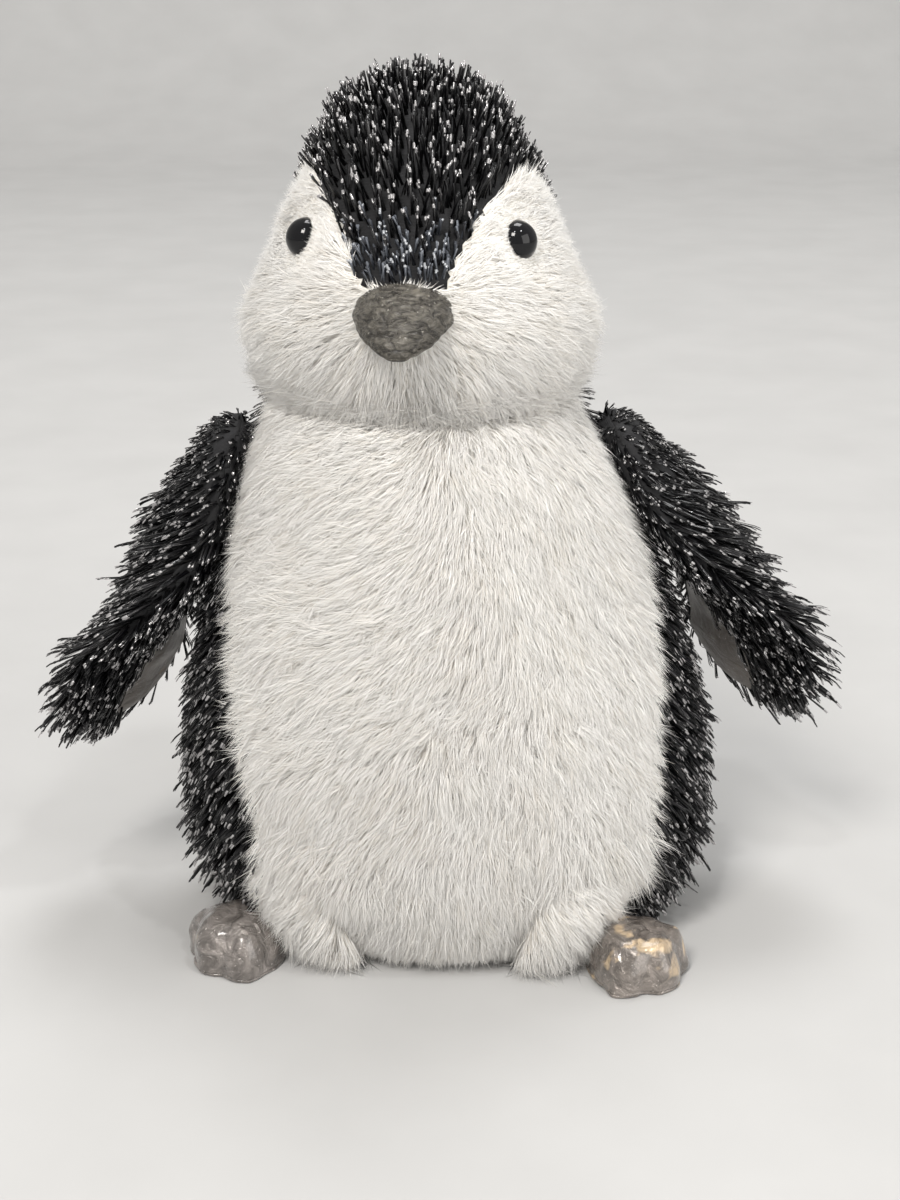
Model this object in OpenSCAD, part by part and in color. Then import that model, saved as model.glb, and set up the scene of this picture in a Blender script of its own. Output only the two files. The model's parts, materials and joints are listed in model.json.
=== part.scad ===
// Plush penguin, sewn from separate fabric panels over loose stuffing.
// Millimetres, +Z up, the toy faces -Y, its own left is +X, and z = 0 is the floor.

/* [Body] */
// Widest half width of the body shell
body_half_width = 62; // [58:1:64]
// Depth of the body in front of its axis
body_front = 48; // [42:1:54]
// Depth of the body behind its axis
body_back = 45; // [38:1:50]
// Height of the neck seam
neck_height = 136; // [128:1:142]
// Radius of the neck seam
neck_radius = 33.5; // [31:0.5:35]
// How far the neck leans to the toy's own right
lean = 7; // [0:0.5:8]
// Thickness of the plush fabric, with the foot of its pile
fabric = 1.6; // [1.2:0.1:2]

/* [Head] */
// Widest half width of the head, across the cheeks
cheek_half_width = 39; // [36:0.5:41]
// Depth of the head in front of its axis
head_front = 38.5; // [35:0.5:40]
// Depth of the head behind its axis
head_back = 39; // [36:0.5:41]
// Height of the top of the head shell
crown_height = 205; // [198:1:210]
// How far the head is turned at rest, to its own right
head_rest_turn = 8; // [0:1:14]

/* [Face] */
// Diameter of the eye domes
eye_diameter = 9; // [7:0.5:10]
// Angle of each eye round from the middle of the face
eye_turn = 53; // [46:1:58]
// Height of the eyes
eye_height = 175; // [170:1:178]
// Width of the beak where it joins the face
beak_width = 23; // [20:0.5:26]
// Height of the beak where it joins the face
beak_tall = 13; // [11:0.5:15]
// How far the beak stands out from the face
beak_length = 15; // [11:0.5:18]

/* [Flippers] */
// Length of a flipper from its hinge line to its tip
flipper_length = 84; // [74:1:88]
// Widest width of a flipper
flipper_width = 42; // [36:1:43]
// Thickness of a stuffed flipper
flipper_thick = 12.5; // [10:0.5:13]
// Rest angle of the left flipper, out from hanging straight down
left_flipper_rest = 31; // [28:1:44]
// Rest angle of the right flipper, out from hanging straight down
right_flipper_rest = 27; // [26:1:44]

/* [Feet] */
// Length of a foot past its ankle seam
foot_length = 25; // [24:1:28]
// Width of a foot across its toes
foot_width = 28; // [24:1:29]
// Thickness of a stuffed foot
foot_thick = 12; // [10:0.5:15]
// How far the left foot points outward
left_foot_splay = 38; // [34:1:50]
// How far the right foot points outward
right_foot_splay = 54; // [40:1:58]

/* [Hidden] */

// Room between pieces that are sewn together, and between pieces that move
sewn_gap = 0.1;
stuffing_gap = 0.6;
moving_gap = 0.5;
lining = 1.1;
// The side panels stop this far above the floor, and the base panel rests on it
skirt_lift = 0.4;

// Body outline: height, half width, front depth, back depth, angle of the side seam
body_rows = [
    [skirt_lift, body_half_width - 28, body_front - 15, body_back - 13, 47],
    [3, body_half_width - 22, body_front - 9, body_back - 8, 47],
    [12, body_half_width - 12, body_front - 4, body_back - 4, 48],
    [28, body_half_width - 1, body_front - 0.5, body_back, 46],
    [46, body_half_width, body_front, body_back, 49],
    [68, body_half_width - 3.5, body_front - 0.5, body_back - 1, 56],
    [94, body_half_width - 11.5, body_front - 4, body_back - 4.5, 69],
    [117, body_half_width - 19.5, body_front - 9, body_back - 8, 82],
    [130, neck_radius + 2.5, neck_radius + 1.5, neck_radius + 1.5, 88],
    [neck_height, neck_radius, neck_radius, neck_radius, 90]];

// Head outline: height, half width, front depth, back depth
neck_mouth = neck_radius - 2;
head_rows = [
    [neck_height + 1, neck_mouth, neck_mouth, neck_mouth],
    [neck_height + 7, cheek_half_width - 2.4, head_front - 3.2, head_back - 3.5],
    [neck_height + 18, cheek_half_width, head_front, head_back],
    [neck_height + 31, cheek_half_width - 5, head_front - 1, head_back],
    [neck_height + 44, cheek_half_width - 10.5, head_front - 6, head_back - 3],
    [neck_height + 54, cheek_half_width - 16.5, head_front - 13, head_back - 9],
    [crown_height - 8, cheek_half_width - 21, head_front - 19.5, head_back - 17],
    [crown_height - 1.6, 9, 9, 10],
    [crown_height, 0, 0, 0]];

// Edge of the black cap: angle round from the middle of the face, height
cap_edge = [[0, 166], [14, 166.5], [20, 171], [27, 177], [42, 183], [62, 186.5],
    [80, 187], [94, 183.5], [105, 176], [125, 171], [180, 170]];
cheek_end = 105;

// The head turns and nods about this point, and its underside is part of a ball round it
head_pivot = neck_height + 31;
seat_radius = norm([neck_mouth, head_pivot - neck_height - 1]);
wad_radius = 22;
wad_floor = neck_height - 27;

// Value rows are joined by a smooth curve, and place runs from 0 to len(rows) - 1
function row_at(rows, place) =
    let (last = len(rows) - 1, i = min(floor(place), last - 1), f = place - i,
        a = rows[max(i - 1, 0)], b = rows[i], c = rows[i + 1], d = rows[min(i + 2, last)])
    (2 * b + (c - a) * f + (2 * a - 5 * b + 4 * c - d) * f ^ 2
        + (3 * b - a - 3 * c + d) * f ^ 3) / 2;

// Place on the curve where its first value reaches a goal
function place_of(rows, goal, low = 0, high = -1, tries = 16) =
    let (top = high < 0 ? len(rows) - 1 : high, middle = (low + top) / 2)
    tries == 0 ? middle
    : row_at(rows, middle)[0] < goal ? place_of(rows, goal, middle, top, tries - 1)
    : place_of(rows, goal, low, middle, tries - 1);

// A point on an upright outline, turn degrees round from the front towards the left
function shell_point(rows, turn, place, inset) =
    let (r = row_at(rows, place), deep = cos(turn) > 0 ? r[2] : r[3])
    [max(r[1] - inset, 0) * sin(turn), -max(deep - inset, 0) * cos(turn), r[0]];

// The body leans to one side as it rises
function body_point(turn, place, inset) =
    let (p = shell_point(body_rows, turn, place, inset))
    [p[0] - lean * (p[2] / neck_height) ^ 2, p[1], p[2]];

// How far the outline reaches forward or back at a place across and a height
function reach_at(rows, column, across, height) =
    let (r = row_at(rows, place_of(rows, height)))
    r[column] * sqrt(max(1 - (across / r[1]) ^ 2, 0));

// Two triangles for each step between two rows of points
function strip(a, b, count, closed) =
    [for (i = [0 : count - (closed ? 1 : 2)])
        let (j = (i + 1) % count)
        each [[a + i, b + i, b + j], [a + i, b + j, a + j]]];

// Two triangles for each step between two edges, given as lists of point numbers
function sewn(a, b) = [for (i = [0 : len(a) - 2])
    each [[a[i], b[i], b[i + 1]], [a[i], b[i + 1], a[i + 1]]]];

function reversed(faces) = [for (f = faces) [f[2], f[1], f[0]]];

function joined(lists) = [for (l = lists) each l];

// A panel: the skin between an outer and an inner grid of points
module panel(outer, inner) {
    rows = len(outer);
    across = len(outer[0]);
    total = rows * across;
    first = [for (r = [0 : rows - 1]) r * across];
    last = [for (r = first) r + across - 1];
    inside = [for (r = first) r + total];
    inside_last = [for (r = last) r + total];
    polyhedron(concat(joined(outer), joined(inner)), concat(
        joined([for (r = [0 : rows - 2]) strip(r * across, (r + 1) * across, across, false)]),
        reversed(joined([for (r = [0 : rows - 2])
            strip(total + r * across, total + (r + 1) * across, across, false)])),
        reversed(strip(0, total, across, false)),
        strip((rows - 1) * across, total + (rows - 1) * across, across, false),
        sewn(first, inside),
        reversed(sewn(last, inside_last))));
}

// A closed form through rings of points, with its ends drawn in to a point
module lofted(rings, start, end) {
    count = len(rings[0]);
    last = (len(rings) - 1) * count;
    total = count * len(rings);
    polyhedron(concat(joined(rings), [start, end]), concat(
        joined([for (r = [0 : len(rings) - 2]) strip(r * count, (r + 1) * count, count, true)]),
        [for (i = [0 : count - 1]) [total, i, (i + 1) % count]],
        [for (i = [0 : count - 1]) [total + 1, last + (i + 1) % count, last + i]]));
}

// A cap of skin: outer rings up to a point, and inner rings back down from it
module cap_skin(outer, inner, outer_top, inner_top) {
    count = len(outer[0]);
    rings = len(outer);
    total = count * rings;
    last = (rings - 1) * count;
    polyhedron(concat(joined(outer), joined(inner), [outer_top, inner_top]), concat(
        joined([for (r = [0 : rings - 2]) strip(r * count, (r + 1) * count, count, true)]),
        reversed(joined([for (r = [0 : rings - 2])
            strip(total + r * count, total + (r + 1) * count, count, true)])),
        reversed(strip(0, total, count, true)),
        [for (i = [0 : count - 1]) [2 * total, last + (i + 1) % count, last + i]],
        [for (i = [0 : count - 1])
            [2 * total + 1, total + last + i, total + last + (i + 1) % count]]));
}

// Body

// Part of the body shell, from one angle to another, each a share of the side seam's angle
// and a fixed angle
module body_skin(from_share, from_turn, to_share, to_turn, across) {
    steps = 16;
    function grid(inset) = [for (r = [0 : steps])
        let (place = (len(body_rows) - 1) * r / steps, seam = row_at(body_rows, place)[4],
            from = from_share * seam + from_turn, to = to_share * seam + to_turn)
        [for (i = [0 : across]) body_point(from + (to - from) * i / across, place, inset)]];
    panel(grid(0), grid(fabric));
}

module belly_panel() {
    color("ivory") body_skin(-1, 0, 1, 0, 16);
}

module back_panel_left() {
    color("#16161a") body_skin(1, 0, 0, 180, 12);
}

module back_panel_right() {
    color("#16161a") body_skin(0, -180, -1, 0, 12);
}

module base_panel() {
    sides = 48;
    edge = [for (i = [0 : sides - 1]) body_point(360 * i / sides, 0, fabric + 0.05)];
    color("#1c1c1f") linear_extrude(fabric) polygon([for (p = edge) [p[0], p[1]]]);
}

function circle_ring(radius, height, count, middle = 0) = [for (i = [0 : count - 1])
    [middle + radius * sin(360 * i / count), -radius * cos(360 * i / count), height]];

// The round bag of pellets in the base, and the room that the stuffing leaves for it
bag_radius = 27;
bag_half = 11;
bag_middle = fabric + bag_half + 1;
bag_room = 0.8;
bag_cloth = 0.6;

module body_stuffing() {
    count = 32;
    inset = fabric + stuffing_gap;
    bowl = seat_radius + 2 * moving_gap;
    wad_room = wad_radius + moving_gap;
    rings = concat(
        [for (a = [15 : 15 : 90]) circle_ring((bag_radius + bag_room) * sin(a),
            bag_middle + (bag_half + bag_room) * cos(a), count)],
        [circle_ring(bag_radius + bag_room, fabric + 0.3, count)],
        [for (place = [0.85, 1.4, 2, 2.6, 3.2, 3.8, 4.4, 5, 5.6, 6.2, 6.8, 7.4, 8, 8.6])
            [for (i = [0 : count - 1]) body_point(360 * i / count, place, inset)]],
        [circle_ring(neck_radius - inset - 0.3, neck_height - 0.8, count, -lean),
            circle_ring(wad_room, head_pivot - sqrt(bowl ^ 2 - wad_room ^ 2), count, -lean),
            circle_ring(wad_room, wad_floor - moving_gap, count, -lean)]);
    color("white") lofted(rings, [0, 0, bag_middle + bag_half + bag_room],
        [-lean, 0, wad_floor - moving_gap]);
}

// A quarter of an oval, from its top point down to its rim
function quarter_oval(wide, tall) = [for (a = [0 : 9 : 90]) [wide * sin(a), tall * cos(a)]];

// One half of the pellet bag, which is two rounds of cloth sewn at the rim
module bag_half_shell() {
    outer = quarter_oval(bag_radius, bag_half);
    inner = quarter_oval(bag_radius - bag_cloth, bag_half - bag_cloth);
    last = len(inner) - 1;
    rotate_extrude($fn = 48)
        polygon(concat(outer, [for (i = [0 : last]) inner[last - i]]));
}

module pellet_bag_upper() {
    color("gainsboro") translate([0, 0, bag_middle]) bag_half_shell();
}

module pellet_bag_lower() {
    color("gainsboro") translate([0, 0, bag_middle]) mirror([0, 0, 1]) bag_half_shell();
}

// Pellets fill the bag to a little above its rim
module pellet_fill() {
    fill = quarter_oval(bag_radius - bag_cloth - 0.2, bag_half - bag_cloth - 0.2);
    last = len(fill) - 1;
    fill_top = 4;
    color("khaki") translate([0, 0, bag_middle]) rotate_extrude($fn = 48)
        polygon(concat([[0, fill_top], [bag_radius - 4, fill_top]],
            [for (i = [0 : last]) let (p = fill[last - i]) [p[0], -p[1]]]));
}

// Ladder stitches that close the stuffing gap in the seam down the back
module closing_stitches() {
    stitches = 9;
    first_height = 44;
    stitch_step = 4.5;
    stitch_long = 4;
    color("#2a2a30") for (i = [0 : stitches - 1]) {
        at = body_point(180, place_of(body_rows, first_height + stitch_step * i), -0.35);
        translate([at[0] - stitch_long / 2, at[1], at[2]]) rotate([0, 90, 0])
            cylinder(stitch_long, r = 0.3, $fn = 16);
    }
}

// Short legs: mounds of plush on the lower front of the body

function leg_turn(side) = side > 0 ? 30 : 44;
leg_spread = 13;
leg_top = 27;
leg_bulge = 6;
leg_gap = 0.9;

// side is 1 for the left leg and -1 for the right one
function leg_point(side, along, up, rise) =
    let (swell = sqrt(max(1 - along ^ 2, 0)) * cos(90 * up ^ 2))
    body_point(side * leg_turn(side) + leg_spread * along, place_of(body_rows, leg_top * up),
        -rise * swell - leg_gap);

module leg_skin(side, outer_rise, inner_rise) {
    steps = 8;
    reach = 0.96;
    function grid(rise) = [for (r = [0 : steps]) [for (i = [0 : 12])
        leg_point(side, reach * (i / 6 - 1), reach * r / steps, rise)]];
    panel(grid(outer_rise), grid(inner_rise));
}

module leg_cover(side) {
    color("ivory") leg_skin(side, leg_bulge, leg_bulge - fabric);
}

module leg_stuffing(side) {
    color("white") leg_skin(side, leg_bulge - fabric - 0.2, 0);
}

// A pointed pad that grows out of an upright outline, towards the front (facing -1) or the
// back (facing 1): [rows, column of the depth, facing, half width, rise, drop, height,
// tip height, length, sharpness of its underside, bluntness]
beak = [head_rows, 2, -1, beak_width / 2, beak_tall * 0.63, beak_tall * 0.42, 160.5, 154.8,
    beak_length, 1.5, 1.35];
tail = [body_rows, 3, 1, 13, 5, 4, 27, 17, 21, 1, 2.4];

function spur_point(spur, angle, along, inset) =
    let (fade = (1 - along ^ spur[10]) ^ 0.6, up = sin(angle) >= 0,
        across = (spur[3] - inset) * fade * cos(angle),
        rise = ((up ? spur[4] : -spur[5]) + (up ? -inset : inset)) * fade
            * abs(sin(angle)) ^ (up ? 0.9 : spur[9]),
        height = spur[6] + (spur[7] - spur[6]) * along ^ 1.3 + rise,
        root = reach_at(spur[0], spur[1], across, spur[6] + rise),
        middle = reach_at(spur[0], spur[1], 0, spur[6]),
        out = root * (1 - along) + middle * along + sewn_gap + along * (spur[8] - inset))
    [across, spur[2] * out, height];

spur_steps = [0, 0.14, 0.3, 0.46, 0.62, 0.76, 0.87, 0.95, 0.985];

// The half of a spur's skin above its side seam, or below it
module spur_skin(spur, upper, thick) {
    from = upper ? 0 : 180;
    function grid(inset) = [for (s = spur_steps) [for (i = [0 : 12])
        spur_point(spur, from + 15 * i, s, inset)]];
    if (spur[2] > 0) panel(grid(thick), grid(0));
    else panel(grid(0), grid(thick));
}

module spur_stuffing(spur, inset) {
    count = 24;
    root = 0.05;
    rings = [for (s = spur_steps) [for (i = [0 : count - 1])
        spur_point(spur, 360 * i / count, max(s, root), inset)]];
    start = [0, spur[2] * (reach_at(spur[0], spur[1], 0, spur[6]) + root * spur[8]), spur[6]];
    end = [0, spur[2] * (reach_at(spur[0], spur[1], 0, spur[6]) + spur[8] - inset), spur[7]];
    if (spur[2] > 0) lofted([for (i = [0 : len(rings) - 1]) rings[len(rings) - 1 - i]], end, start);
    else lofted(rings, start, end);
}

module tail_upper() {
    color("#16161a") spur_skin(tail, true, lining);
}

module tail_lining() {
    color("#7d766c") spur_skin(tail, false, lining);
}

module tail_stuffing() {
    color("white") spur_stuffing(tail, lining + 0.2);
}

// Neck: a firm wad of stuffing that the head rocks on, and that turns in the body

module neck_wad() {
    bowl = seat_radius + moving_gap;
    arc = [for (i = [0 : 8]) let (r = wad_radius * i / 8) [r, head_pivot - sqrt(bowl ^ 2 - r ^ 2)]];
    color("white") translate([-lean, 0, 0]) rotate_extrude($fn = 64)
        polygon(concat([[0, wad_floor], [wad_radius, wad_floor]],
            [for (i = [0 : 8]) arc[8 - i]]));
}

// Head

module on_head() {
    translate([-lean, 0, 0]) rotate([0, 0, -head_rest_turn]) children();
}

function cap_place(turn) =
    place_of(head_rows, row_at(cap_edge, place_of(cap_edge, abs(turn)))[1]);

// Part of the head below the cap, from one angle to another
module head_skin(from, to, across) {
    steps = 10;
    function grid(inset) = [for (r = [0 : steps]) [for (i = [0 : across])
        let (turn = from + (to - from) * i / across)
        shell_point(head_rows, turn, cap_place(turn) * r / steps, inset)]];
    panel(grid(0), grid(fabric));
}

module cheek_left() {
    color("ivory") on_head() head_skin(0, cheek_end, 14);
}

module cheek_right() {
    color("ivory") on_head() head_skin(-cheek_end, 0, 14);
}

module head_back_left() {
    color("#16161a") on_head() head_skin(cheek_end, 180, 10);
}

module head_back_right() {
    color("#16161a") on_head() head_skin(-180, -cheek_end, 10);
}

module crown_gusset() {
    count = 48;
    steps = 7;
    last = len(head_rows) - 1;
    function turn_at(i) = let (t = 360 * i / count) t > 180 ? t - 360 : t;
    function rings(inset) = [for (r = [0 : steps]) [for (i = [0 : count - 1])
        let (turn = turn_at(i), edge = cap_place(turn),
            p = shell_point(head_rows, turn, edge + (last - 0.45 - edge) * r / steps, inset))
        [p[0], p[1], p[2] - inset * r / steps]]];
    color("#121216") on_head()
        cap_skin(rings(0), rings(fabric), [0, 0, crown_height], [0, 0, crown_height - fabric]);
}

module head_stuffing() {
    count = 32;
    inset = fabric + 1.4 * stuffing_gap;
    mouth = neck_mouth - inset;
    function seat(radius) = head_pivot - sqrt(seat_radius ^ 2 - radius ^ 2);
    rings = concat(
        [for (r = [mouth * 0.4, mouth * 0.75, mouth]) circle_ring(r, seat(r), count)],
        [for (place = [0.4 : 0.6 : 7.6]) [for (i = [0 : count - 1])
            let (p = shell_point(head_rows, 360 * i / count, place, inset))
            [p[0], p[1], p[2] - inset * max(place - 4, 0) / 4]]]);
    color("white") on_head()
        lofted(rings, [0, 0, seat(0)], [0, 0, crown_height - inset - 0.3]);
}

module beak_upper() {
    color("#5d5850") on_head() spur_skin(beak, true, lining);
}

module beak_lower() {
    color("#514c46") on_head() spur_skin(beak, false, lining);
}

module beak_stuffing() {
    color("white") on_head() spur_stuffing(beak, lining + 0.2);
}

// Eyes: a dome on a shank through the fabric, and a washer that locks it inside

eye_rise = 3.3;
shank_radius = 1.1;
shank_length = 6.5;
washer_radius = 5;
washer_thick = 1.2;

// Stands its children on the face at an eye, with their Z axis straight out of it
module at_eye(side) {
    place = place_of(head_rows, eye_height);
    at = shell_point(head_rows, side * eye_turn, place, 0);
    round_way = shell_point(head_rows, side * eye_turn + 1, place, 0) - at;
    up_way = shell_point(head_rows, side * eye_turn, place + 0.05, 0) - at;
    out = cross(round_way, up_way);
    on_head() translate(at)
        rotate([0, acos(out[2] / norm(out)), atan2(out[1], out[0])]) children();
}

module eye(side) {
    half = eye_diameter / 2;
    ball = (half ^ 2 + eye_rise ^ 2) / (2 * eye_rise);
    color("black") at_eye(side) {
        intersection() {
            translate([0, 0, eye_rise - ball]) sphere(ball, $fn = 64);
            translate([0, 0, sewn_gap]) cylinder(eye_rise, r = half, $fn = 64);
        }
        translate([0, 0, -shank_length]) cylinder(shank_length + 0.5, r = shank_radius, $fn = 24);
    }
}

module eye_washer(side) {
    color("white") at_eye(side) translate([0, 0, -fabric - 0.6 - washer_thick])
        difference() {
            cylinder(washer_thick, r = washer_radius, $fn = 48);
            translate([0, 0, -1])
                cylinder(washer_thick + 2, r = shank_radius + 0.05, $fn = 24);
        }
}

// Flippers: the outer face is fringed plush, and the inner face is a smooth lining

knuckle = flipper_thick / 2;
hinge_out = 47.5;
hinge_back = 2;
hinge_height = 122;
flipper_sweep = 7;

// Flipper outline: distance from the hinge line, half width, half thickness, twist
flipper_rows = [
    [-knuckle + 0.15, 10, knuckle * 0.22, 0],
    [-knuckle * 0.6, 11.5, knuckle * 0.8, 0],
    [0, 12.5, knuckle, 0],
    [flipper_length * 0.2, flipper_width / 2 - 3.5, knuckle, -14],
    [flipper_length * 0.45, flipper_width / 2 - 0.5, knuckle * 0.92, 4],
    [flipper_length * 0.7, flipper_width / 2, knuckle * 0.75, 32],
    [flipper_length * 0.88, flipper_width / 2 - 4.5, knuckle * 0.52, 38],
    [flipper_length * 0.97, 8.5, knuckle * 0.34, 38],
    [flipper_length, 3, knuckle * 0.22, 38]];

// How far the middle of a flipper bows out
function flipper_bow(side) = side > 0 ? 3 : -1.5;

// A point on a hanging flipper: angle 0 is its front edge, 90 its outer face
function flipper_point(side, angle, place, inset) =
    let (r = row_at(flipper_rows, place), along = r[0] / flipper_length, twist = r[3],
        wide = max(r[1] - inset, 0.4), thick = max(r[2] - inset, 0.2),
        front = -wide * cos(angle), out = thick * sin(angle))
    [out * cos(twist) + front * -sin(twist) + flipper_bow(side) * sin(180 * max(along, 0)),
        out * sin(twist) + front * cos(twist) + flipper_sweep * max(along, 0) ^ 2, -r[0]];

module hung_flipper(side) {
    rest = side > 0 ? left_flipper_rest : right_flipper_rest;
    shift = -lean * (hinge_height / neck_height) ^ 2;
    translate([shift, 0, 0]) mirror([side > 0 ? 0 : 1, 0, 0])
        translate([hinge_out, hinge_back, hinge_height]) rotate([0, -rest, 0]) children();
}

flipper_steps = 16;

// Outer face of a flipper from its front seam to its rear one, or its lining back again
module flipper_skin(side, from, thick) {
    last = len(flipper_rows) - 1;
    function grid(inset) = [for (r = [0 : flipper_steps]) [for (i = [0 : 12])
        flipper_point(side, from + 15 * i, last * r / flipper_steps, inset)]];
    hung_flipper(side) panel(grid(thick), grid(0));
}

module flipper_outer(side) {
    color("#16161a") flipper_skin(side, 0, lining);
}

module flipper_lining(side) {
    color("#7d766c") flipper_skin(side, 180, lining);
}

module flipper_stuffing(side) {
    count = 24;
    last = len(flipper_rows) - 1;
    inset = lining + stuffing_gap;
    places = [for (r = [0 : 14]) last - 0.5 - (last - 1) * r / 14];
    rings = [for (p = places) [for (i = [0 : count - 1])
        flipper_point(side, 360 * i / count, p, inset)]];
    function middle(place) =
        (flipper_point(side, 0, place, inset) + flipper_point(side, 180, place, inset)) / 2;
    color("white") hung_flipper(side)
        lofted(rings, middle(places[0]), middle(places[14]));
}

// Feet: padded slippers with three toes, each with a flat sole

function heel_turn(side) = side > 0 ? 43.5 : 60;
heel_height = 8;
heel_room = 2.8;
toe_wave = 50;

// Outline of a foot that points forward from a heel at the origin
function foot_edge(angle, inset) =
    let (lobe = abs(angle) < 1.5 * toe_wave ? abs(cos(180 * angle / toe_wave)) : 0,
        grow = 0.9 + 0.16 * lobe * (abs(angle) < 0.5 * toe_wave ? 1 : 0.8),
        wide = (foot_width / 2 * (0.87 + 0.2 * cos(angle)) - inset) * grow,
        long = (foot_length / 2 - inset) * grow)
    [wide * sin(angle), -foot_length / 2 - long * cos(angle)];

foot_sides = 42;
function foot_angle(i) = let (a = 360 * i / foot_sides) a > 180 ? a - 360 : a;

// Upper of a foot at a share of the way in from its edge: domed at the heel, flatter at the toes
function foot_ring(share, top, bottom, inset) = [for (i = [0 : foot_sides - 1])
    let (e = foot_edge(foot_angle(i), inset), middle = [0, -foot_length / 2],
        p = middle + (e - middle) * share, flat = (1 + cos(foot_angle(i))) / 2)
    [p[0], p[1], bottom + (top - bottom) * (1 - share ^ (3 + 2 * flat)) ^ (0.6 - 0.15 * flat)]];

module placed_foot(side) {
    place = place_of(body_rows, heel_height);
    at = body_point(side * heel_turn(side), place, -heel_room);
    splay = side > 0 ? left_foot_splay : right_foot_splay;
    translate([at[0], at[1], 0]) rotate([0, 0, side * splay]) children();
}

foot_shares = [1, 0.97, 0.9, 0.78, 0.6, 0.35];

module foot_upper(side) {
    middle = [0, -foot_length / 2];
    color("#8a8378") placed_foot(side) cap_skin(
        [for (s = foot_shares) foot_ring(s, foot_thick, lining, 0)],
        [for (s = foot_shares) foot_ring(s, foot_thick - lining, lining, lining)],
        [0, middle[1], foot_thick], [0, middle[1], foot_thick - lining]);
}

module foot_sole(side) {
    color("#6f6a62") placed_foot(side) linear_extrude(lining)
        polygon([for (i = [0 : foot_sides - 1]) foot_edge(foot_angle(i), 0)]);
}

module foot_stuffing(side) {
    inset = lining + 0.2;
    top = foot_thick - inset;
    color("white") placed_foot(side) lofted(
        [for (s = foot_shares) foot_ring(s, top, lining + sewn_gap, inset)],
        [0, -foot_length / 2, lining + sewn_gap], [0, -foot_length / 2, top]);
}

belly_panel();
back_panel_left();
back_panel_right();
base_panel();
body_stuffing();
pellet_bag_upper();
pellet_bag_lower();
pellet_fill();
closing_stitches();
leg_cover(1);  // left_leg_cover
leg_stuffing(1);  // left_leg_stuffing
leg_cover(-1);  // right_leg_cover
leg_stuffing(-1);  // right_leg_stuffing
tail_upper();
tail_lining();
tail_stuffing();
neck_wad();
cheek_left();
cheek_right();
crown_gusset();
head_back_left();
head_back_right();
head_stuffing();
beak_upper();
beak_lower();
beak_stuffing();
eye(1);  // left_eye
eye_washer(1);  // left_eye_washer
eye(-1);  // right_eye
eye_washer(-1);  // right_eye_washer
flipper_outer(1);  // left_flipper_outer
flipper_lining(1);  // left_flipper_lining
flipper_stuffing(1);  // left_flipper_stuffing
flipper_outer(-1);  // right_flipper_outer
flipper_lining(-1);  // right_flipper_lining
flipper_stuffing(-1);  // right_flipper_stuffing
foot_upper(1);  // left_foot_upper
foot_sole(1);  // left_foot_sole
foot_stuffing(1);  // left_foot_stuffing
foot_upper(-1);  // right_foot_upper
foot_sole(-1);  // right_foot_sole
foot_stuffing(-1);  // right_foot_stuffing
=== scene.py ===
"""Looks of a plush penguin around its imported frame: pile, fringe, padded fabric and eyes.

Everything is in metres in the frame's own axes: the toy faces -Y, its own left is +X.
"""

import json
import math

import bmesh
import bpy
import numpy as np
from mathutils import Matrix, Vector
from mathutils.bvhtree import BVHTree
from mathutils.kdtree import KDTree


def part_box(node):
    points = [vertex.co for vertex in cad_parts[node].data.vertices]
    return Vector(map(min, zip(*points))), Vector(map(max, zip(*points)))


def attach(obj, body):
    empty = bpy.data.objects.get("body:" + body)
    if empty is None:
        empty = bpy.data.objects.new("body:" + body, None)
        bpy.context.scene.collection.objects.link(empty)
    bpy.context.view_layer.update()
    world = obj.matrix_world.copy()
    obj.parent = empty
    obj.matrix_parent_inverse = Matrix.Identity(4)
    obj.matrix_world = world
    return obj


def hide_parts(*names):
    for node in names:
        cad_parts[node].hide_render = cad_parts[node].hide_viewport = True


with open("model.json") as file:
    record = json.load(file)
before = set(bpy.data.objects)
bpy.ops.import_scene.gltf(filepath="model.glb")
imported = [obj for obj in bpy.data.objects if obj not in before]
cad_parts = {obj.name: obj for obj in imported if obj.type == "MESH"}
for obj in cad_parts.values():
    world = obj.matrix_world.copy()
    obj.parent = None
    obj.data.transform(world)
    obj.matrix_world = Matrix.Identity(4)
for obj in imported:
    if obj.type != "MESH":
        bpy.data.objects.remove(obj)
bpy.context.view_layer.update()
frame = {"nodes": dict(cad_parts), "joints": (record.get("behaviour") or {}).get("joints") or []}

MM = 0.001
UP = np.array((0.0, 0.0, 1.0))
SIDES = {"left": 1, "right": -1}

# ---------------------------------------------------------------- small helpers


def add(name, mesh):
    """A new object in the scene."""
    obj = bpy.data.objects.new(name, mesh)
    bpy.context.scene.collection.objects.link(obj)
    return obj


def points_of(mesh):
    co = np.empty(len(mesh.vertices) * 3, np.float32)
    mesh.vertices.foreach_get("co", co)
    return co.reshape(-1, 3).astype(float)


def set_points(mesh, co):
    mesh.vertices.foreach_set("co", np.asarray(co, np.float32).ravel())
    mesh.update()


def unit(v):
    return v / np.maximum(np.linalg.norm(v, axis=-1, keepdims=True), 1e-9)


def smooth(low, high, x):
    """0 before low, 1 past high, and a smooth step between them."""
    t = np.clip((x - low) / (high - low), 0, 1)
    return t * t * (3 - 2 * t)


def waves(points, size, seed):
    """Soft noise from -1 to 1 at points, made of a few sine waves of about the given size."""
    rng = np.random.default_rng(seed)
    total = 0
    for _ in range(6):
        way = unit(rng.normal(size=3)) * 2 * math.pi / (size * rng.uniform(0.7, 1.5))
        total = total + np.sin(points @ way + rng.uniform(0, 2 * math.pi))
    return total / 3.2


def apply_modifiers(obj):
    graph = bpy.context.evaluated_depsgraph_get()
    mesh = bpy.data.meshes.new_from_object(obj.evaluated_get(graph))
    obj.modifiers.clear()
    obj.data = mesh


def tree_of(node):
    mesh = frame["nodes"][node].data
    return BVHTree.FromPolygons([v.co for v in mesh.vertices], [p.vertices for p in mesh.polygons])


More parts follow.
